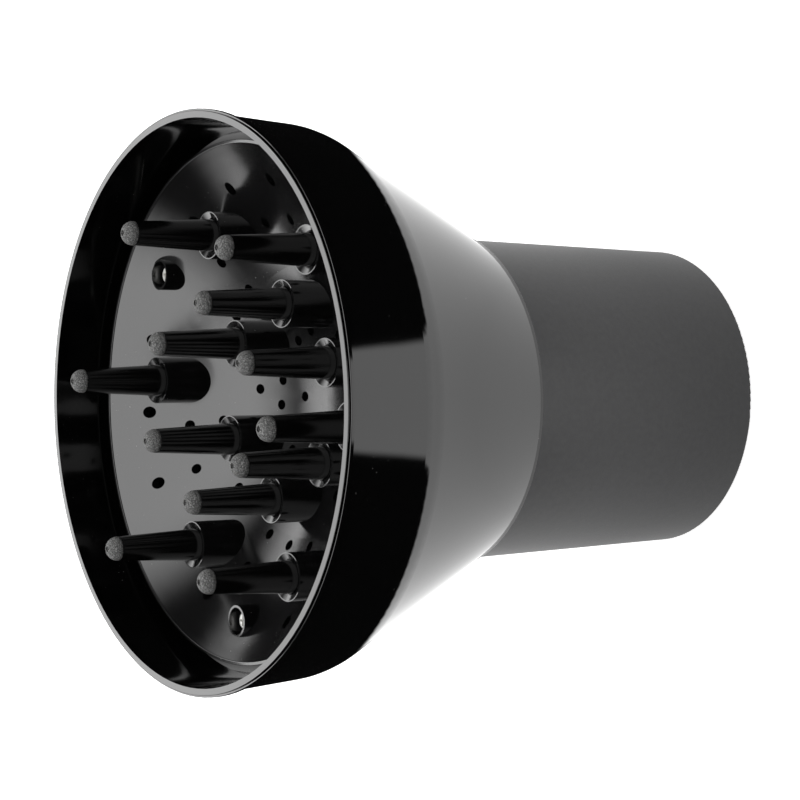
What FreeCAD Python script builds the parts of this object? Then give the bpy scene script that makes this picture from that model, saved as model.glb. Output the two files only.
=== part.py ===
import FreeCAD, Part
import math
import os
import Sketcher

# Hair dryer diffuser: a round bowl with a dished, perforated front plate and hollow fingers, on a collar
# that pushes over the dryer's barrel.  Millimetres, +Z along the common axis towards the mouth, origin at
# the centre of the collar's open rear end, so the part stands on its collar.

DIMENSIONS = [
    # Bowl
    ("rim_height", 155.2, "rear end of the collar to the rim"),
    ("rim_radius", 75.0, "outside of the bead round the rim"),
    ("rim_land", 2.3, "width of the flat end of the rim"),
    ("bead_height", 1.5, "height of the bead round the rim"),
    ("bead_step", 0.85, "how far the bead stands out of the band"),
    ("rim_ledge", 0.55, "width and depth of the step on the edge of the rim"),
    ("knee_radius", 72.2, "outside of the band where it meets the cone"),
    ("knee_height", 127.9, "height of the corner between band and cone"),
    ("knee_round", 16.0, "rounding of that corner"),
    ("shell", 2.3, "wall of the band"),
    ("neck_radius", 45.9, "outside of the lip over the collar"),
    ("neck_height", 75.8, "underside of that lip"),
    ("neck_lip", 1.0, "height of the straight edge of that lip"),
    ("spigot_radius", 41.0, "outside of the tube that the collar turns on"),
    ("spigot_wall", 3.0, "wall of that tube"),
    ("spigot_end", 58.4, "lower end of that tube"),
    ("throat_height", 77.0, "upper end of the bore of that tube"),
    ("ledge_height", 137.0, "seat of the front plate"),
    ("ledge_radius", 66.2, "inner edge of that seat"),
    # Front plate
    ("dish_centre", 112.6, "front of the plate on the axis"),
    ("dish_radius", 66.9, "edge of the dish inside the lip"),
    ("dish_edge", 141.4, "front of the dish at that edge"),
    ("dish_knee", 36.0, "radius where the two arcs of the dish meet"),
    ("dish_knee_rise", 8.35, "rise of the dish at that radius"),
    ("plate_wall", 2.2, "thickness of the plate"),
    ("lip_radius", 67.8, "outside of the lip round the plate"),
    ("lip_top", 141.75, "top of that lip"),
    ("vent_wide", 1.6, "radius of the vents in the outermost ring"),
    ("vent", 1.35, "radius of the other vents"),
    # Fingers and their sockets
    ("finger_ring_out", 48.0, "outer ring of fingers"),
    ("finger_ring_mid", 25.75, "inner ring of fingers"),
    ("socket_top_out", 137.5, "mouth of the outer sockets"),
    ("socket_top_mid", 128.7, "mouth of the inner sockets"),
    ("socket_radius", 6.3, "outside of a socket"),
    ("socket_bore", 4.4, "inside of a socket"),
    ("socket_depth", 13.1, "mouth of a socket to its floor"),
    ("socket_floor", 2.2, "thickness of that floor"),
    ("socket_sink", 0.7, "depth of the countersunk mouth"),
    ("root_radius", 3.1, "finger where it passes the floor"),
    ("finger_base", 4.27, "shaft of the finger in the socket"),
    ("finger_end", 3.35, "shaft below the ball end"),
    ("finger_tip", 2.95, "ball end of the finger"),
    ("finger_length", 36.25, "floor to the centre of the ball end"),
    ("finger_bore", 1.9, "air duct in the finger"),
    ("outlet", 0.7, "outlet in the ball end"),
    ("outlet_dish", 1.2, "recess round the outlet"),
    # Screws and their bosses
    ("screw_ring", 57.75, "circle of the screws"),
    ("boss_radius", 4.2, "outside of a screw boss"),
    ("boss_bore", 3.6, "inside of a screw boss"),
    ("boss_top", 137.1, "mouth of a screw boss"),
    ("boss_floor", 133.2, "seat of the screw head"),
    ("post_top", 129.2, "top of the posts in the bowl"),
    ("post_radius", 3.6, "posts in the bowl"),
    ("screw_radius", 1.45, "shank of the screw"),
    ("screw_head", 2.5, "head of the screw"),
    ("screw_length", 12.0, "length under the head"),
    # Collar, retaining ring and grip liner
    ("collar_rear", 41.5, "outside of the collar at its rear end"),
    ("collar_front", 43.8, "outside of the collar under the bowl"),
    ("collar_gap", 0.1, "gap between the collar and the lip of the bowl"),
    ("turning_gap", 0.06, "clearance between the collar and the spigot"),
    ("collar_bore", 39.0, "inside of the collar below the spigot"),
    ("ring_height", 66.0, "underside of the retaining ring"),
    ("ring_thick", 2.0, "thickness of the retaining ring"),
    ("ring_inner", 39.9, "inside of the retaining ring"),
    ("ring_outer", 42.0, "outside of the retaining ring"),
    ("liner_bore", 31.0, "bore of the liner that grips the dryer"),
    ("liner_mouth", 36.5, "mouth of the liner"),
    ("liner_bottom", 1.6, "rear end of the liner"),
    ("liner_top", 52.0, "front end of the liner"),
    ("land_bottom", 12.0, "start of the gripping bore"),
    ("land_top", 42.0, "end of the gripping bore"),
    ("bead_radius", 39.9, "bead that keys the liner into the collar"),
]

# Vents of one sixth of the plate: radius of the ring, angle in degrees, alias of the vent's radius.
VENTS = [(57.75, a, "vent_wide") for a in (0, 20, 40)]
VENTS += [(47.6, a, "vent") for a in (0, 15, 45)]
VENTS += [(38.25, a, "vent") for a in (0, 15, 45)]
VENTS += [(26.7, 30, "vent"), (19.2, 20, "vent"), (19.2, 40, "vent"), (10.05, 30, "vent")]

doc = FreeCAD.newDocument("diffuser")
sheet = doc.addObject("Spreadsheet::Sheet", "Dims")
for row, (alias, size, words) in enumerate(DIMENSIONS, start=1):
    sheet.set("A%d" % row, words)
    sheet.set("B%d" % row, str(size))
    sheet.setAlias("B%d" % row, alias)
doc.recompute()

NAMES = sorted((alias for alias, _, _ in DIMENSIONS), key=len, reverse=True)


def bound(formula):
    """The formula with each alias written as a cell of the sheet."""
    words = []
    word = ""
    for letter in formula + " ":
        if letter.isalnum() or letter in "_.":
            word += letter
            continue
        words.append("Dims." + word if word in NAMES else word)
        words.append(letter)
        word = ""
    return "".join(words).strip()


def size(formula):
    """Present value of a formula."""
    value = sheet.evalExpression(bound(formula))
    return float(getattr(value, "Value", value))


def new_body(label):
    body = doc.addObject("PartDesign::Body", label)
    body.Label = label
    return body


def origin_part(body, role):
    return [part for part in body.Origin.OriginFeatures if part.Role == role][0]


def new_sketch(body, name, plane, height=None):
    sketch = body.newObject("Sketcher::SketchObject", name)
    sketch.AttachmentSupport = (origin_part(body, plane), [""])
    sketch.MapMode = "FlatFace"
    if height is not None:
        sketch.setExpression("AttachmentOffset.Base.z", bound(height))
    return sketch


def fix(sketch, kind, first, point, formula):
    """Ties one coordinate of a point to a formula."""
    index = sketch.addConstraint(Sketcher.Constraint(kind, -1, 1, first, point, size(formula)))
    sketch.setExpression("Constraints[%d]" % index, bound(formula))


def arc_between(start, end, radius, side):
    """Arc through two points; side +1 bulges to the left of the way from start to end, -1 to the right."""
    chord = end - start
    half = chord.Length / 2
    left = FreeCAD.Vector(-chord.y, chord.x, 0).normalize()
    centre = (start + end) * 0.5 - left * (side * math.sqrt(radius * radius - half * half))
    first, last = (start, end) if side < 0 else (end, start)
    begin = math.atan2(first.y - centre.y, first.x - centre.x)
    finish = math.atan2(last.y - centre.y, last.x - centre.x)
    if finish < begin:
        finish += 2 * math.pi
    return Part.ArcOfCircle(Part.Circle(centre, FreeCAD.Vector(0, 0, 1), radius), begin, finish)


def outline(body, name, corners, arcs=None):
    """Closed outline beside the axis.  A corner is (radius, height) in formulas; arcs maps the number of the
    corner where an arc starts to (radius, side)."""
    arcs = arcs or {}
    sketch = new_sketch(body, name, "XZ_Plane")
    points = [FreeCAD.Vector(size(r), size(z), 0) for r, z in corners]
    count = len(points)
    ends = []
    for i in range(count):
        start = points[i]
        end = points[(i + 1) % count]
        if i not in arcs:
            sketch.addGeometry(Part.LineSegment(start, end), False)
            ends.append((1, 2))
            continue
        radius, side = arcs[i]
        sketch.addGeometry(arc_between(start, end, size(radius), side), False)
        ends.append((1, 2) if side < 0 else (2, 1))
    for i in range(count):
        after = (i + 1) % count
        sketch.addConstraint(Sketcher.Constraint("Coincident", i, ends[i][1], after, ends[after][0]))
    for i, (r, z) in enumerate(corners):
        if size(r) == 0:
            sketch.addConstraint(Sketcher.Constraint("PointOnObject", i, ends[i][0], -2))
        else:
            fix(sketch, "DistanceX", i, ends[i][0], r)
        fix(sketch, "DistanceY", i, ends[i][0], z)
    for i, (radius, side) in arcs.items():
        index = sketch.addConstraint(Sketcher.Constraint("Radius", i, size(radius)))
        sketch.setExpression("Constraints[%d]" % index, bound(radius))
    return sketch


def turned(body, name, corners, arcs=None):
    """Solid of revolution from an outline."""
    sketch = outline(body, name + "Outline", corners, arcs)
    solid = body.newObject("PartDesign::Revolution", name)
    solid.Profile = sketch
    solid.ReferenceAxis = (sketch, ["V_Axis"])
    solid.Angle = 360.0
    doc.recompute()
    return solid


def discs(body, name, height, circles):
    """Sketch of circles at a height.  A circle is (ring, degrees, radius); ring and radius are formulas."""
    sketch = new_sketch(body, name, "XY_Plane", height)
    for i, (ring, degrees, radius) in enumerate(circles):
        turn = math.radians(degrees)
        centre = FreeCAD.Vector(size(ring) * math.cos(turn), size(ring) * math.sin(turn), 0)
        sketch.addGeometry(Part.Circle(centre, FreeCAD.Vector(0, 0, 1), size(radius)), False)
        fix(sketch, "DistanceX", i, 3, "%s * cos(%d deg)" % (ring, degrees))
        fix(sketch, "DistanceY", i, 3, "%s * sin(%d deg)" % (ring, degrees))
        index = sketch.addConstraint(Sketcher.Constraint("Radius", i, size(radius)))
        sketch.setExpression("Constraints[%d]" % index, bound(radius))
    return sketch


def extruded(body, kind, sketch, name, length):
    """Pad or pocket below the plane of a sketch; no length means right through."""
    feature = body.newObject("PartDesign::" + kind, name)
    feature.Profile = sketch
    if length is None:
        feature.Type = "ThroughAll"
        feature.Midplane = True
    else:
        feature.setExpression("Length", bound(length))
        feature.Reversed = kind == "Pad"
    doc.recompute()
    return feature


def repeated(body, name, features, count):
    """Copies of features round the axis of the body."""
    pattern = body.newObject("PartDesign::PolarPattern", name)
    pattern.Originals = features
    pattern.Axis = (origin_part(body, "Z_Axis"), [""])
    pattern.Angle = 360
    pattern.Occurrences = count
    body.Tip = pattern
    doc.recompute()
    return pattern


def circles_at(shape, places):
    """Names of the circular edges whose radius and height are listed."""
    names = []
    for ring, height in places:
        for i, edge in enumerate(shape.Edges):
            if edge.Degenerated or not isinstance(edge.Curve, Part.Circle):
                continue
            curve = edge.Curve
            if abs(curve.Radius - size(ring)) < 0.02 and abs(curve.Center.z - size(height)) < 0.02:
                names.append("Edge%d" % (i + 1))
    return names


def rounded(body, name, places, radius):
    """Fillet on circular edges."""
    base = body.Tip
    fillet = body.newObject("PartDesign::Fillet", name)
    fillet.Base = (base, circles_at(base.Shape, places))
    fillet.setExpression("Radius", bound(radius))
    body.Tip = fillet
    doc.recompute()
    return fillet


def countersunk(body, name, places, across, down):
    """Chamfer of unequal legs on circular edges."""
    base = body.Tip
    chamfer = body.newObject("PartDesign::Chamfer", name)
    chamfer.Base = (base, circles_at(base.Shape, places))
    chamfer.ChamferType = "Two distances"
    chamfer.setExpression("Size", bound(across))
    chamfer.setExpression("Size2", bound(down))
    body.Tip = chamfer
    doc.recompute()
    return chamfer


def cylinder(name, radius, bottom, top, ring="0", degrees=0):
    """Upright cylinder between two heights, on a ring round the axis."""
    rod = doc.addObject("Part::Cylinder", name)
    rod.setExpression("Radius", bound(radius))
    rod.setExpression("Height", bound("(%s) - (%s)" % (top, bottom)))
    rod.setExpression("Placement.Base.x", bound("%s * cos(%d deg)" % (ring, degrees)))
    rod.setExpression("Placement.Base.y", bound("%s * sin(%d deg)" % (ring, degrees)))
    rod.setExpression("Placement.Base.z", bound(bottom))
    return rod


def joined(name, shapes):
    union = doc.addObject("Part::MultiFuse", name)
    union.Shapes = shapes
    return union


def removed(name, base, tool):
    cut = doc.addObject("Part::Cut", name)
    cut.Base = base
    cut.Tool = tool
    cut.Label = name
    doc.recompute()
    return cut


SCREW_ANGLES = (60, 180, 300)


def bowl_shell():
    """Band, cone, neck and spigot in one moulding, with a seat and three posts for the front plate."""
    outside = new_body("bowl_outside")
    turned(outside, "OutsideTurned", [
        ("0", "spigot_end"),
        ("spigot_radius", "spigot_end"),
        ("spigot_radius", "ring_height"),
        ("ring_inner - 0.1", "ring_height"),
        ("ring_inner - 0.1", "ring_height + ring_thick"),
        ("spigot_radius", "ring_height + ring_thick"),
        ("spigot_radius", "neck_height"),
        ("neck_radius", "neck_height"),
        ("neck_radius", "neck_height + neck_lip"),
        ("knee_radius", "knee_height"),
        ("rim_radius - bead_step", "rim_height - bead_height - 0.3"),
        ("rim_radius", "rim_height - bead_height"),
        ("rim_radius", "rim_height - rim_ledge"),
        ("rim_radius - rim_ledge", "rim_height - rim_ledge"),
        ("rim_radius - rim_ledge", "rim_height"),
        ("0", "rim_height"),
    ])
    rounded(outside, "Knee", [("knee_radius", "knee_height")], "knee_round")
    rounded(outside, "LipEdge", [("neck_radius", "neck_height"),
                                 ("neck_radius", "neck_height + neck_lip")], "neck_lip / 4")
    rounded(outside, "RimEdge", [("rim_radius", "rim_height - rim_ledge"),
                                 ("rim_radius - rim_ledge", "rim_height")], "rim_ledge / 3")

    inside = new_body("bowl_inside")
    turned(inside, "InsideTurned", [
        ("0", "spigot_end - 1"),
        ("spigot_radius - spigot_wall", "spigot_end - 1"),
        ("spigot_radius - spigot_wall", "throat_height"),
        ("neck_radius - 1.5", "throat_height + 2.2"),
        ("knee_radius - shell", "knee_height"),
        ("knee_radius - shell + 0.4", "ledge_height - 6"),
        ("ledge_radius", "ledge_height - 2"),
        ("ledge_radius", "ledge_height"),
        ("knee_radius - shell + 1", "ledge_height"),
        ("rim_radius - rim_land", "rim_height"),
        ("rim_radius - rim_land", "rim_height + 1"),
        ("0", "rim_height + 1"),
    ])
    rounded(inside, "KneeInside", [("knee_radius - shell", "knee_height")], "knee_round / 4")

    bottom = "post_top - 34"
    posts = joined("screw_posts", [
        cylinder("ScrewPost%d" % a, "post_radius", bottom, "post_top", "screw_ring", a) for a in SCREW_ANGLES])
    pilots = joined("screw_pilots", [
        cylinder("ScrewPilot%d" % a, "screw_radius + 0.05", "post_top - screw_length", "post_top + 1",
                 "screw_ring", a) for a in SCREW_ANGLES])
    room = removed("bowl_room", inside, posts)
    shell = removed("bowl_moulding", outside, room)
    return removed("bowl_shell", shell, pilots)


def socket(body, name, ring, degrees, top):
    """Open tube with a pierced floor, which holds one finger."""
    tube = extruded(body, "Pad", discs(body, name + "TubeSketch", top, [(ring, degrees, "socket_radius")]),
                    name + "Tube", "socket_depth + socket_floor")
    bore = extruded(body, "Pocket", discs(body, name + "BoreSketch", top, [(ring, degrees, "socket_bore")]),
                    name + "Bore", "socket_depth")
    hole = extruded(body, "Pocket",
                    discs(body, name + "HoleSketch", top + " - socket_depth",
                          [(ring, degrees, "root_radius + 0.05")]),
                    name + "Hole", "socket_floor + 4")
    repeated(body, name + "s", [tube, bore, hole], 6)


def front_plate():
    """Dished plate with vents, twelve finger sockets and three screw bosses."""
    body = new_body("front_plate")
    knee = "dish_centre + dish_knee_rise"
    near = "(dish_knee^2 + dish_knee_rise^2) / (2 * dish_knee_rise)"
    turned(body, "Dish", [
        ("0", "dish_centre - plate_wall"),
        ("dish_knee", knee + " - plate_wall"),
        ("dish_radius", "dish_edge - plate_wall"),
        ("dish_radius", "ledge_height"),
        ("lip_radius", "ledge_height"),
        ("lip_radius", "lip_top"),
        ("dish_radius", "lip_top"),
        ("dish_radius", "dish_edge"),
        ("dish_knee", knee),
        ("0", "dish_centre"),
    ], {0: (near, -1), 1: ("143.5", -1), 7: ("143.5", 1), 8: (near, 1)})
    rounded(body, "LipRound", [("lip_radius", "lip_top"), ("dish_radius", "lip_top")], "0.15")
    vents = discs(body, "VentSketch", None, [(str(ring), a, alias) for ring, a, alias in VENTS])
    repeated(body, "Vents", [extruded(body, "Pocket", vents, "VentSixth", None)], 6)
    socket(body, "OuterSocket", "finger_ring_out", 30, "socket_top_out")
    socket(body, "InnerSocket", "finger_ring_mid", 0, "socket_top_mid")
    at = SCREW_ANGLES[0]
    boss = extruded(body, "Pad", discs(body, "BossSketch", "boss_top", [("screw_ring", at, "boss_radius")]),
                    "Boss", "boss_top - post_top")
    bore = extruded(body, "Pocket", discs(body, "BossBoreSketch", "boss_top", [("screw_ring", at, "boss_bore")]),
                    "BossBore", "boss_top - boss_floor")
    hole = extruded(body, "Pocket",
                    discs(body, "BossHoleSketch", "boss_floor", [("screw_ring", at, "screw_radius + 0.25")]),
                    "BossHole", "boss_floor - post_top + 3")
    repeated(body, "Bosses", [boss, bore, hole], 3)
    countersunk(body, "SocketSinks", [("socket_bore", "socket_top_out"), ("socket_bore", "socket_top_mid")],
                "socket_radius - socket_bore - 0.25", "socket_sink")
    return body


def placed(body, ring, degrees, height):
    """Stands a body on a ring round the axis."""
    body.setExpression("Placement.Base.x", bound("%s * cos(%d deg)" % (ring, degrees)))
    body.setExpression("Placement.Base.y", bound("%s * sin(%d deg)" % (ring, degrees)))
    body.setExpression("Placement.Base.z", bound(height))
    doc.recompute()
    return body


def finger(label, ring, degrees, top):
    """Hollow tapered finger: barbed root, shaft that stands on the socket's floor, ball end with an outlet."""
    body = new_body(label)
    crown = "finger_length + sqrt(finger_tip^2 - outlet_dish^2)"
    turned(body, "Finger", [
        ("finger_bore", "0 - socket_floor - 2.4"),
        ("root_radius - 0.4", "0 - socket_floor - 2.4"),
        ("root_radius + 0.5", "0 - socket_floor"),
        ("root_radius", "0 - socket_floor"),
        ("root_radius", "0"),
        ("finger_base", "0"),
        ("finger_base", "socket_depth"),
        ("finger_end", "finger_length - 0.8"),
        ("finger_tip", "finger_length"),
        ("outlet_dish", crown),
        ("outlet_dish", crown + " - 0.9"),
        ("outlet", crown + " - 0.9"),
        ("outlet", "finger_length - finger_tip"),
        ("finger_bore", "finger_length - finger_tip - 2"),
    ], {7: ("1.2", -1), 8: ("finger_tip", -1)})
    return placed(body, ring, degrees, "%s - socket_depth" % top)


def plate_screw(label, degrees):
    """Pan head screw with a cross recess."""
    body = new_body(label)
    turned(body, "Screw", [
        ("0", "0 - screw_length"),
        ("screw_radius", "3 - screw_length"),
        ("screw_radius", "0"),
        ("screw_head", "0"),
        ("screw_head", "1.0"),
        ("screw_head - 0.9", "1.9"),
        ("0", "1.9"),
    ], {4: ("1.2", -1)})
    sketch = new_sketch(body, "CrossSketch", "XY_Plane", "1.9")
    arm = 1.45
    half = 0.32
    corners = [(arm, -half), (arm, half), (half, half), (half, arm), (-half, arm), (-half, half),
               (-arm, half), (-arm, -half), (-half, -half), (-half, -arm), (half, -arm), (half, -half)]
    for i, (x, y) in enumerate(corners):
        start = FreeCAD.Vector(x, y, 0)
        end = FreeCAD.Vector(*corners[(i + 1) % 12], 0)
        sketch.addGeometry(Part.LineSegment(start, end), False)
    for i in range(12):
        sketch.addConstraint(Sketcher.Constraint("Coincident", i, 2, (i + 1) % 12, 1))
        sketch.addConstraint(Sketcher.Constraint("Vertical" if i % 2 == 0 else "Horizontal", i))
    extruded(body, "Pocket", sketch, "Cross", "1.1")
    return placed(body, "screw_ring", degrees, "boss_floor")


def collar_sleeve():
    """Tapered sleeve that turns on the spigot; one groove holds the retaining ring, one keys the liner."""
    body = new_body("collar_sleeve")
    bore = "spigot_radius + turning_gap"
    turned(body, "Sleeve", [
        ("collar_rear", "0"),
        ("collar_front", "neck_height - collar_gap"),
        (bore, "neck_height - collar_gap"),
        (bore, "ring_height + ring_thick + 0.1"),
        ("ring_outer + 0.1", "ring_height + ring_thick + 0.1"),
        ("ring_outer + 0.1", "ring_height - 0.1"),
        (bore, "ring_height - 0.1"),
        (bore, "spigot_end - 0.4"),
        ("collar_bore", "spigot_end - 0.4"),
        ("collar_bore", "land_top - 12"),
        ("bead_radius + 0.05", "land_top - 12"),
        ("bead_radius + 0.05", "land_top - 16"),
        ("collar_bore", "land_top - 16"),
        ("collar_bore", "0"),
    ])
    rounded(body, "RearEdge", [("collar_rear", "0"), ("collar_bore", "0")], "0.6")
    return body


def grip_liner():
    """Soft liner with a funnel at each end of the bore that grips the barrel."""
    body = new_body("grip_liner")
    turned(body, "Liner", [
        ("collar_bore - 0.05", "liner_bottom"),
        ("collar_bore - 0.05", "land_top - 16"),
        ("bead_radius", "land_top - 16"),
        ("bead_radius", "land_top - 12"),
        ("collar_bore - 0.05", "land_top - 12"),
        ("collar_bore - 0.05", "liner_top"),
        ("liner_mouth", "liner_top"),
        ("liner_bore", "land_top"),
        ("liner_bore", "land_bottom"),
        ("liner_mouth", "liner_bottom"),
    ])
    return body


def retaining_ring():
    """Split ring that keeps the collar on the spigot."""
    body = new_body("neck_retaining_ring")
    turned(body, "Ring", [
        ("ring_inner", "ring_height"),
        ("ring_outer", "ring_height"),
        ("ring_outer", "ring_height + ring_thick"),
        ("ring_inner", "ring_height + ring_thick"),
    ])
    slot = discs(body, "SplitSketch", None, [("ring_outer", 0, "3")])
    extruded(body, "Pocket", slot, "Split", None)
    return body


parts = {
    "bowl_shell": bowl_shell(),
    "front_plate": front_plate(),
    "collar_sleeve": collar_sleeve(),
    "grip_liner": grip_liner(),
    "neck_retaining_ring": retaining_ring(),
}
for k in range(6):
    name = "outer_finger_%d" % (k + 1)
    parts[name] = finger(name, "finger_ring_out", 30 + 60 * k, "socket_top_out")
    name = "inner_finger_%d" % (k + 1)
    parts[name] = finger(name, "finger_ring_mid", 60 * k, "socket_top_mid")
for k, degrees in enumerate(SCREW_ANGLES):
    name = "plate_screw_%d" % (k + 1)
    parts[name] = plate_screw(name, degrees)

doc.recompute()
for item in doc.Objects:
    if "Invalid" in item.State or "Error" in item.State:
        raise RuntimeError("%s failed: %s" % (item.Label, item.State))

os.makedirs("parts", exist_ok=True)
for name, item in parts.items():
    if item.Shape.isNull() or not item.Shape.isValid() or len(item.Shape.Solids) != 1:
        raise RuntimeError("%s is not one valid solid" % name)
    item.Label = name
    item.Shape.exportStep("parts/%s.step" % name)
    box = item.Shape.BoundBox
    print("%-20s %9.1f mm3  %s" % (name, item.Shape.Volume, box))
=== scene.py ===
import bpy
import math
from mathutils import Matrix, Vector


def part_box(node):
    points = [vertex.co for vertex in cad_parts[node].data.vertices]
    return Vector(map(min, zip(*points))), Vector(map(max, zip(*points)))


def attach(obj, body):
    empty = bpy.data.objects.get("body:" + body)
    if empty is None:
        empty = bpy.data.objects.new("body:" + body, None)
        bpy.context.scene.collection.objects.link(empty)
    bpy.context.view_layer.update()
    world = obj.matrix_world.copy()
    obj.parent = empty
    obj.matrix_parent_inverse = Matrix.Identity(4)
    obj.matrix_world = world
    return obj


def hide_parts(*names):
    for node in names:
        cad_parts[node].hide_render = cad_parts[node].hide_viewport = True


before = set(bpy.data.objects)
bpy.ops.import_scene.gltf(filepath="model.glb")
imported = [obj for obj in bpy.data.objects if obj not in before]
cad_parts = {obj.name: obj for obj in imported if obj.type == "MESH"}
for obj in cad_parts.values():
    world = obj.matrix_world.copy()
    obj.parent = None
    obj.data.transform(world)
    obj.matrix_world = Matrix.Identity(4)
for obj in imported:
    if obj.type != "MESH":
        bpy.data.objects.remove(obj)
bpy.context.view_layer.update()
MM = 0.001

# ---------------------------------------------------------------- node helpers


class Graph:
    """A material's nodes, with short calls for the few kinds used here."""

    def __init__(self, name):
        self.material = bpy.data.materials.new(name)
        self.material.use_nodes = True
        self.tree = self.material.node_tree
        self.tree.nodes.clear()
        self.out = self.tree.nodes.new("ShaderNodeOutputMaterial")

    def node(self, kind, **values):
        made = self.tree.nodes.new("ShaderNode" + kind)
        for key, value in values.items():
            setattr(made, key, value)
        return made

    def link(self, source, target):
        self.tree.links.new(source, target)

    def put(self, target, value):
        if isinstance(value, bpy.types.NodeSocket):
            self.link(value, target)
        else:
            target.default_value = value

    def coords(self, scale=(1, 1, 1)):
        place = self.node("TexCoord")
        mapping = self.node("Mapping")
        mapping.inputs["Scale"].default_value = scale
        self.link(place.outputs["Object"], mapping.inputs["Vector"])
        return mapping.outputs["Vector"]

    def noise(self, scale, detail=4.0, rough=0.55, vector=None):
        made = self.node("TexNoise")
        made.inputs["Scale"].default_value = scale
        made.inputs["Detail"].default_value = detail
        made.inputs["Roughness"].default_value = rough
        self.link(vector if vector else self.coords(), made.inputs["Vector"])
        return made.outputs["Fac"]

    def ramp(self, value, stops, smooth=False):
        made = self.node("ValToRGB")
        made.color_ramp.interpolation = "EASE" if smooth else "LINEAR"
        while len(made.color_ramp.elements) < len(stops):
            made.color_ramp.elements.new(0.5)
        for element, (at, shade) in zip(made.color_ramp.elements, stops):
            element.position = at
            element.color = (shade, shade, shade, 1) if isinstance(shade, float) else (*shade, 1)
        self.link(value, made.inputs["Fac"])
        return made.outputs["Color"]

    def math(self, kind, a, b=0.0, c=None):
        made = self.node("Math", operation=kind)
        self.put(made.inputs[0], a)
        self.put(made.inputs[1], b)
        if c is not None:
            self.put(made.inputs[2], c)
        return made.outputs[0]

    def mix(self, factor, a, b):
        made = self.node("Mix", data_type="RGBA")
        self.put(made.inputs["Factor"], factor)
        self.put(made.inputs[6], a)
        self.put(made.inputs[7], b)
        return made.outputs[2]

    def bump(self, height, strength, distance, normal=None):
        made = self.node("Bump")
        made.inputs["Strength"].default_value = strength
        made.inputs["Distance"].default_value = distance
        self.link(height, made.inputs["Height"])
        if normal:
            self.link(normal, made.inputs["Normal"])
        return made.outputs["Normal"]

    def axis(self, name):
        split = self.node("SeparateXYZ")
        self.link(self.coords(), split.inputs[0])
        return split.outputs[name]

    def shader(self, **values):
        made = self.node("BsdfPrincipled")
        for key, value in values.items():
            self.put(made.inputs[key.replace("_", " ")], value)
        self.link(made.outputs[0], self.out.inputs[0])
        return made


# ---------------------------------------------------------------- materials


def gloss_black(name, shade, rough, grain, dust):
    """Polished black moulding: slow ripple, fine rub marks in the gloss, a few specks of dust."""
    g = Graph(name)
    ripple = g.noise(45.0, 2.0)
    rub = g.noise(900.0, 5.0, 0.65)
    wide = g.noise(120.0, 3.0)
    specks = g.ramp(g.noise(1500.0, 2.0, 0.5), [(0.0, 0.0), (0.735, 0.0), (0.77, 1.0), (1.0, 1.0)])
    patches = g.ramp(g.noise(60.0, 2.0), [(0.0, 0.0), (0.42, 0.0), (0.62, 1.0), (1.0, 1.0)])
    mask = g.math("MULTIPLY", g.math("MULTIPLY", specks, patches), dust)
    colour = g.mix(mask, (shade, shade, shade * 1.03, 1), (0.22, 0.22, 0.21, 1))
    gloss = g.math("MULTIPLY_ADD", rub, grain, rough - grain * 0.5)
    gloss = g.math("MULTIPLY_ADD", wide, grain, gloss)
    gloss = g.math("MULTIPLY_ADD", mask, 0.5, gloss)
    normal = g.bump(ripple, 0.06, 0.0004)
    normal = g.bump(mask, 0.25, 0.00005, normal)
    g.shader(Base_Color=colour, Roughness=gloss, IOR=1.5, Normal=normal)
    return g.material


def soft_touch():
    """Matt spark-eroded grain of the collar."""
    g = Graph("collar grain")
    grain = g.noise(2600.0, 3.0, 0.6)
    mottle = g.noise(620.0, 4.0, 0.6)
    colour = g.ramp(mottle, [(0.3, (0.008, 0.008, 0.009)), (0.7, (0.014, 0.014, 0.015))])
    rough = g.math("MULTIPLY_ADD", grain, 0.12, 0.40)
    normal = g.bump(grain, 0.35, 0.00006)
    g.shader(Base_Color=colour, Roughness=rough, IOR=1.5, Normal=normal)
    return g.material


def finger_plastic(name, tip_height):
    """Polished shaft, and a coarse grey grain from the ball end's equator upwards, painted darker in its
    hollows and lighter on its raised grain.
    """
    g = Graph(name)
    height = g.axis("Z")
    ragged = g.math("MULTIPLY_ADD", g.noise(2500.0, 3.0), 0.0006, height)
    mask = g.ramp(g.math("MULTIPLY", g.math("SUBTRACT", ragged, tip_height - 0.0004), 1500.0),
                  [(0.0, 0.0), (0.6, 1.0), (1.0, 1.0)], True)
    grain = g.noise(3200.0, 5.0, 0.7)
    pits = g.noise(1300.0, 3.0, 0.6)
    # Painted shade in the grain's hollows and painted highlight on its raised grain, over the tip's own grey
    # tone.
    shaded_hollow = (0.008, 0.008, 0.008)
    middle = (0.04, 0.04, 0.039)
    lit_raised = (0.20, 0.20, 0.196)
    grey = g.ramp(grain, [(0.38, shaded_hollow), (0.50, middle), (0.62, lit_raised)])
    colour = g.mix(mask, (0.0015, 0.0015, 0.0015, 1), grey)
    rough = g.math("MULTIPLY_ADD", mask, 0.5, g.math("MULTIPLY_ADD", g.noise(700.0), 0.08, 0.14))
    heights = g.math("MULTIPLY", g.math("ADD", grain, pits), mask)
    normal = g.bump(heights, 1.0, 0.0004)
    g.shader(Base_Color=colour, Roughness=rough, IOR=1.5, Normal=normal)
    return g.material


def rubber():
    g = Graph("liner rubber")
    grain = g.noise(1800.0, 4.0, 0.6)
    mottle = g.noise(90.0, 3.0)
    colour = g.ramp(mottle, [(0.3, (0.016, 0.016, 0.016)), (0.7, (0.030, 0.029, 0.028))])
    g.shader(Base_Color=colour, Roughness=g.math("MULTIPLY_ADD", grain, 0.15, 0.62), IOR=1.45,
             Normal=g.bump(grain, 0.3, 0.0001))
    return g.material


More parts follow.
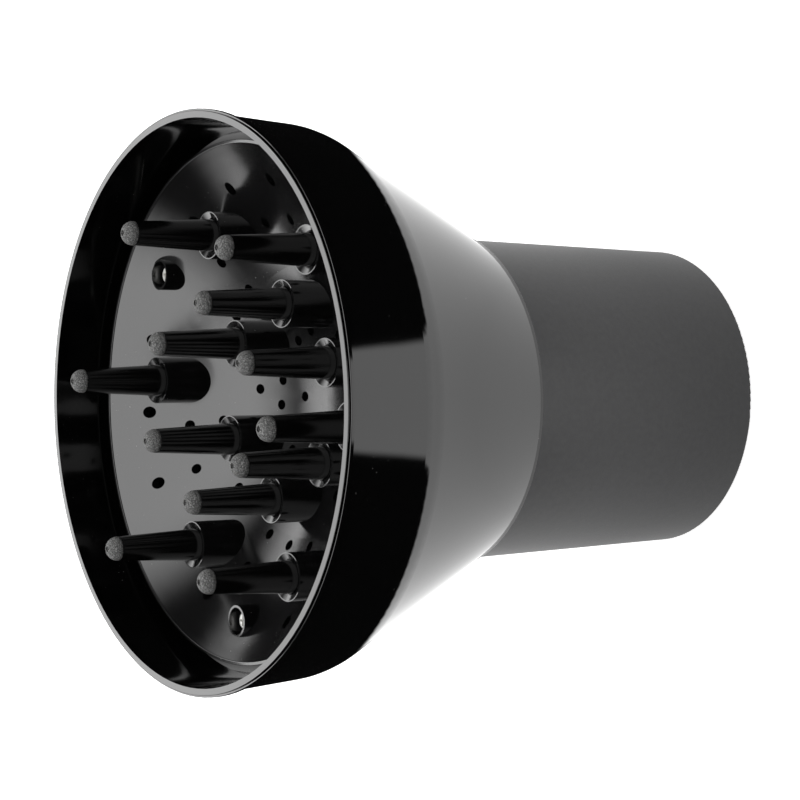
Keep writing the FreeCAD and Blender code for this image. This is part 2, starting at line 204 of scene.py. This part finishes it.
def steel(name, shade, rough):
    """Plated steel with turning marks and slight spotting."""
    g = Graph(name)
    marks = g.noise(1.0, 3.0, 0.6, g.coords((900.0, 900.0, 6000.0)))
    spots = g.noise(700.0, 4.0, 0.6)
    spotted = (shade * 0.7, shade * 0.69, shade * 0.66)
    clean = (shade, shade, shade * 0.97)
    colour = g.ramp(spots, [(0.35, spotted), (0.65, clean)])
    g.shader(Base_Color=colour, Metallic=0.6, Roughness=g.math("MULTIPLY_ADD", marks, 0.2, rough),
             Normal=g.bump(marks, 0.2, 0.00004))
    return g.material


def dress(node, material):
    """Gives a carried-over CAD node its material."""
    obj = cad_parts[node]
    obj.data.materials.clear()
    obj.data.materials.append(material)


dress("bowl_shell", gloss_black("bowl gloss", shade=0.0010, rough=0.055, grain=0.02, dust=0.35))
dress("front_plate", gloss_black("plate gloss", shade=0.004, rough=0.12, grain=0.05, dust=0.6))
dress("collar_sleeve", soft_touch())
dress("grip_liner", rubber())
dress("neck_retaining_ring", steel("spring steel", shade=0.45, rough=0.25))


# Finger in mm, with heights above the floor of its socket.
DUCT_RADIUS = 1.9
BARB_NOSE = 2.7
BARB_RADIUS = 3.6
BARB_END = -4.6
FLOOR_UNDERSIDE = -2.2
ROOT_RADIUS = 3.1
BASE_RADIUS = 4.27
SOCKET_MOUTH = 13.1
BALL_RADIUS = 3.15
BALL_HEIGHT = 36.0
BALL_RISE = 2.95
OUTLET_DISH = 0.75
OUTLET_DEPTH = 0.45
OUTLET_RADIUS = 0.42
OUTLET_END = BALL_HEIGHT - BALL_RADIUS
DUCT_END = OUTLET_END - 2.0
SHAFT_STEPS = 30
DOME_STEPS = 20
SIDES = 96
SHARP_ANGLE = math.radians(28)
# Height of the ball end's centre above the collar's rear end.
TIP_HEIGHTS = {"outer": 160.65 * MM, "inner": 151.85 * MM}


def finger_profile():
    """Outline of a finger as (radius, height), up the outside and back down through its duct."""
    fall = BASE_RADIUS - BALL_RADIUS
    climb = BALL_HEIGHT - SOCKET_MOUTH
    shaft = [(BASE_RADIUS - fall * i / SHAFT_STEPS, SOCKET_MOUTH + climb * i / SHAFT_STEPS)
             for i in range(SHAFT_STEPS + 1)]
    steep = math.acos(OUTLET_DISH / BALL_RADIUS)
    turns = [steep * i / DOME_STEPS for i in range(1, DOME_STEPS + 1)]
    dome = [(BALL_RADIUS * math.cos(turn), BALL_HEIGHT + BALL_RISE * math.sin(turn)) for turn in turns]
    seat = dome[-1][1] - OUTLET_DEPTH
    root = [(DUCT_RADIUS, BARB_END), (BARB_NOSE, BARB_END), (BARB_RADIUS, FLOOR_UNDERSIDE),
            (ROOT_RADIUS, FLOOR_UNDERSIDE), (ROOT_RADIUS, 0.0)]
    base = [(BASE_RADIUS, height) for height in (0.0, 6.0, 12.0)]
    outlet = [(OUTLET_DISH, seat), (OUTLET_RADIUS, seat), (OUTLET_RADIUS, OUTLET_END),
              (DUCT_RADIUS, DUCT_END)]
    return root + base + shaft + dome + outlet


def lathe(name, points, x, y, z, material):
    """Closed turned piece from an outline in mm, with its axis at (x, y) and heights above z."""
    verts = []
    for radius, height in points:
        for i in range(SIDES):
            turn = 2 * math.pi * i / SIDES
            across = radius * MM * math.cos(turn)
            along = radius * MM * math.sin(turn)
            verts.append((x + across, y + along, z + height * MM))
    faces = []
    for j in range(len(points)):
        low = j * SIDES
        high = (j + 1) % len(points) * SIDES
        for i in range(SIDES):
            after = (i + 1) % SIDES
            faces.append((low + i, low + after, high + after, high + i))
    mesh = bpy.data.meshes.new(name)
    mesh.from_pydata(verts, [], faces)
    mesh.shade_smooth()
    mesh.set_sharp_from_angle(angle=SHARP_ANGLE)
    mesh.materials.append(material)
    piece = bpy.data.objects.new(name, mesh)
    bpy.context.scene.collection.objects.link(piece)
    return piece


def turned_finger(node, material):
    """Stands a turned finger in place of its CAD node."""
    lowest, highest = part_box(node)
    middle = (lowest + highest) / 2
    floor_height = lowest.z - BARB_END * MM
    piece = lathe(node + "_turned", finger_profile(), middle.x, middle.y, floor_height, material)
    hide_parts(node)
    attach(piece, "bowl")


for ring, tip_height in TIP_HEIGHTS.items():
    shaft_material = finger_plastic(ring + " finger", tip_height)
    for k in range(1, 7):
        turned_finger("%s_finger_%d" % (ring, k), shaft_material)
plated = steel("screw steel", shade=0.75, rough=0.34)
for k in range(1, 4):
    dress("plate_screw_%d" % k, plated)

# ---------------------------------------------------------------- camera

CAMERA_AT = Vector((77.9, -575.7, 489.9)) * MM
AZIMUTH = math.radians(7.708)       # of the camera, from -Y towards +X
SENSOR_WIDTH = 36.0
FOCAL_LENGTH = 117.783

turn = Matrix.Rotation(AZIMUTH, 3, "Z")
right = turn @ Vector((-0.0160, -0.5676, -0.8231))
rough_up = turn @ Vector((0.99987, -0.0091, -0.0132))
back = right.cross(rough_up).normalized()
up = back.cross(right).normalized()

lens = bpy.data.cameras.new("camera")
lens.sensor_width = SENSOR_WIDTH
lens.lens = FOCAL_LENGTH
lens.clip_start = 0.01
lens.clip_end = 50.0
camera = bpy.data.objects.new("camera", lens)
bpy.context.scene.collection.objects.link(camera)
camera.matrix_world = Matrix.Translation(CAMERA_AT) @ Matrix((right, up, back)).transposed().to_4x4()
bpy.context.scene.camera = camera

# ---------------------------------------------------------------- floor, cards and light

GLOSS_ONLY = ("visible_camera", "visible_diffuse", "visible_transmission", "visible_volume_scatter",
              "visible_shadow")


OBJECT_MIDDLE = Vector((0, 0, 0.12))
TOWARDS = Vector((math.sin(AZIMUTH), -math.cos(AZIMUTH), 0.0))
ASIDE = Vector((0, 0, 1)).cross(TOWARDS)


def spot(forward, side, height):
    """Place given as metres towards the camera, aside, and up."""
    return TOWARDS * forward + ASIDE * side + Vector((0, 0, height))


def staged(name, points, faces, material):
    """Piece of the stage from points and faces."""
    mesh = bpy.data.meshes.new(name)
    mesh.from_pydata(points, [], faces)
    mesh.materials.append(material)
    piece = bpy.data.objects.new(name, mesh)
    bpy.context.scene.collection.objects.link(piece)
    return piece


def gloss_only(piece):
    """Makes a piece of the stage show in reflections alone."""
    for flag in GLOSS_ONLY:
        setattr(piece, flag, False)


def lit_floor():
    """Pale floor with a little light of its own, so that shadows stay faint."""
    g = Graph("floor")
    paint = g.node("BsdfDiffuse")
    paint.inputs["Color"].default_value = (0.8, 0.8, 0.8, 1)
    glow = g.node("Emission")
    glow.inputs["Strength"].default_value = 0.72
    both = g.node("AddShader")
    g.link(paint.outputs[0], both.inputs[0])
    g.link(glow.outputs[0], both.inputs[1])
    g.link(both.outputs[0], g.out.inputs[0])
    half = 6
    corners = [(-half, -half, 0), (half, -half, 0), (half, half, 0), (-half, half, 0)]
    floor = staged("floor", corners, [(0, 1, 2, 3)], g.material)
    floor.visible_glossy = False


def dark_room():
    """Black drum round the stage, which the gloss mirrors where no card is."""
    g = Graph("dark room glow")
    glow = g.node("Emission")
    glow.inputs["Strength"].default_value = 0.0
    g.link(glow.outputs[0], g.out.inputs[0])
    walls, radius, bottom, top = 24, 4.0, -2.0, 5.0
    turns = [2 * math.pi * i / walls for i in range(walls)]
    points = [(radius * math.cos(t), radius * math.sin(t), height) for height in (bottom, top) for t in turns]
    faces = [(i, (i + 1) % walls, walls + (i + 1) % walls, walls + i) for i in range(walls)]
    faces += [tuple(range(walls)), tuple(range(walls, 2 * walls))]
    gloss_only(staged("dark room", points, faces, g.material))


def white_sheet():
    """Glowing white disc under the object, and a strip from it towards the camera, with the object's shadow
    painted into its glow near the middle.
    """
    g = Graph("white sheet")
    split = g.node("SeparateXYZ")
    g.link(g.coords(), split.inputs[0])
    x, y = split.outputs[0], split.outputs[1]
    away = g.math("SQRT", g.math("ADD", g.math("POWER", x, 2.0), g.math("POWER", y, 2.0)))
    along = g.math("ADD", g.math("MULTIPLY", x, TOWARDS.x), g.math("MULTIPLY", y, TOWARDS.y))
    aside = g.math("ADD", g.math("MULTIPLY", x, ASIDE.x), g.math("MULTIPLY", y, ASIDE.y))
    disc = g.ramp(g.math("MULTIPLY", away, 4.0), [(0.60, 1.0), (0.68, 0.0)], True)
    width = g.math("MULTIPLY", g.math("ABSOLUTE", aside), 5.0)
    near = g.math("GREATER_THAN", along, 0.0)
    strip = g.math("MULTIPLY", g.ramp(width, [(0.34, 1.0), (0.40, 0.0)], True), near)
    # Painted shadow of the object: the glow is half as bright near the middle and rises to full away from it.
    shadowed_glow = g.ramp(g.math("MULTIPLY", away, 4.0), [(0.25, 0.5), (0.62, 1.0)])
    glow = g.node("Emission")
    g.link(g.mix(g.math("MAXIMUM", disc, strip), (0.002, 0.002, 0.002, 1), shadowed_glow), glow.inputs["Color"])
    glow.inputs["Strength"].default_value = 2.1
    g.link(glow.outputs[0], g.out.inputs[0])
    rear, front, half, below = -0.5, 0.9, 0.5, -0.002
    corners = [spot(rear, -half, below), spot(front, -half, below), spot(front, half, below),
               spot(rear, half, below)]
    gloss_only(staged("white sheet", corners, [(0, 1, 2, 3)], g.material))


def panel(name, centre, width, height, strength):
    """Soft-edged glowing card that faces the middle of the object and shows in gloss only."""
    g = Graph(name + " glow")
    split = g.node("SeparateXYZ")
    g.link(g.coords(), split.inputs[0])
    away = g.math("ADD", g.math("POWER", split.outputs[0], 2.0), g.math("POWER", split.outputs[1], 2.0))
    glow = g.node("Emission")
    g.link(g.ramp(g.math("SQRT", away), [(0.35, 1.0), (1.0, 0.0)], True), glow.inputs["Color"])
    glow.inputs["Strength"].default_value = strength
    g.link(glow.outputs[0], g.out.inputs[0])
    card = staged(name, [(-1, -1, 0), (1, -1, 0), (1, 1, 0), (-1, 1, 0)], [(0, 1, 2, 3)], g.material)
    gloss_only(card)
    card.location = centre
    card.rotation_euler = (OBJECT_MIDDLE - centre).to_track_quat("-Z", "Y").to_euler()
    card.scale = (width / 2, height / 2, 1.0)


lit_floor()
dark_room()
white_sheet()
panel("top box", spot(0.10, 0.0, 1.1), width=3.0, height=2.2, strength=5.0)
panel("back box", spot(-1.2, 0, 0.75), width=2.4, height=1.4, strength=4.2)

world = bpy.data.worlds.new("soft light")
world.use_nodes = True
world.node_tree.nodes["Background"].inputs["Color"].default_value = (1, 1, 1, 1)
world.node_tree.nodes["Background"].inputs["Strength"].default_value = 0.75
bpy.context.scene.world = world


def lamp(name, at, size, power):
    data = bpy.data.lights.new(name, "AREA")
    data.shape = "DISK"
    data.size = size
    data.energy = power
    light = bpy.data.objects.new(name, data)
    light.location = at
    light.rotation_euler = (OBJECT_MIDDLE - at).to_track_quat("-Z", "Y").to_euler()
    light.visible_glossy = False
    bpy.context.scene.collection.objects.link(light)


lamp("overhead", spot(-0.1, 0.1, 1.2), size=0.9, power=9.0)
lamp("behind", spot(-1.2, -0.2, 0.9), size=0.8, power=6.0)

scene = bpy.context.scene
scene.view_settings.view_transform = "Standard"
scene.view_settings.look = "None"
